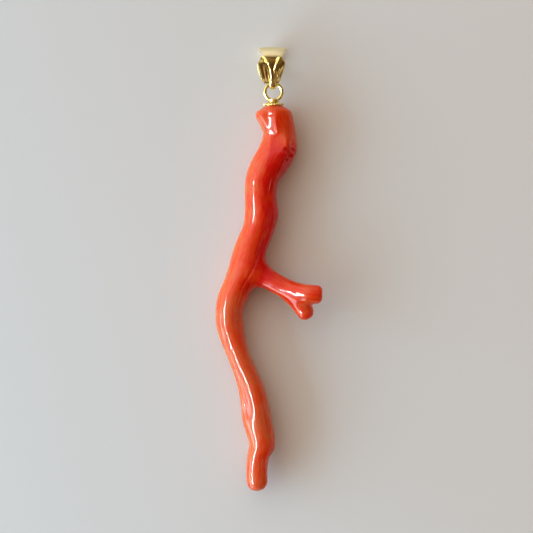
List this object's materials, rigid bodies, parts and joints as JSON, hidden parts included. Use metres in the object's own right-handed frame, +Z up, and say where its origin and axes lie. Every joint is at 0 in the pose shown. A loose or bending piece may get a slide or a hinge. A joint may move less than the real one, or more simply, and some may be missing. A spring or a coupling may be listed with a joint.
{
  "type": "red coral branch",
  "caption": "Polished red coral branch with a forked side branch, made into a pendant with a gold cap, an eye ring and a swinging bail.",
  "frame": {"origin": "centre of the footprint on the surface that the pendant lies on", "axes": "+Y along the stem towards the bail, +X towards the side branch, +Z up from the surface"},
  "size_m": [0.0194, 0.08, 0.0084],
  "materials": {
    "coral": "polished to a high gloss, salmon red",
    "gold": "polished yellow gold"
  },
  "bodies": {
    "coral_branch": {"main_stem": "coral", "side_branch": "coral", "end_cap": "gold", "eye_peg": "gold"},
    "bail": {"bail": "gold"}
  },
  "joints": [
    {"name": "bail_swing", "type": "hinge", "parent": "coral_branch", "child": "bail", "pos_m": [0.00076, 0.0331, 0.00335], "axis": [1, 0, 0], "range_deg": [-95, 60]}
  ]
}
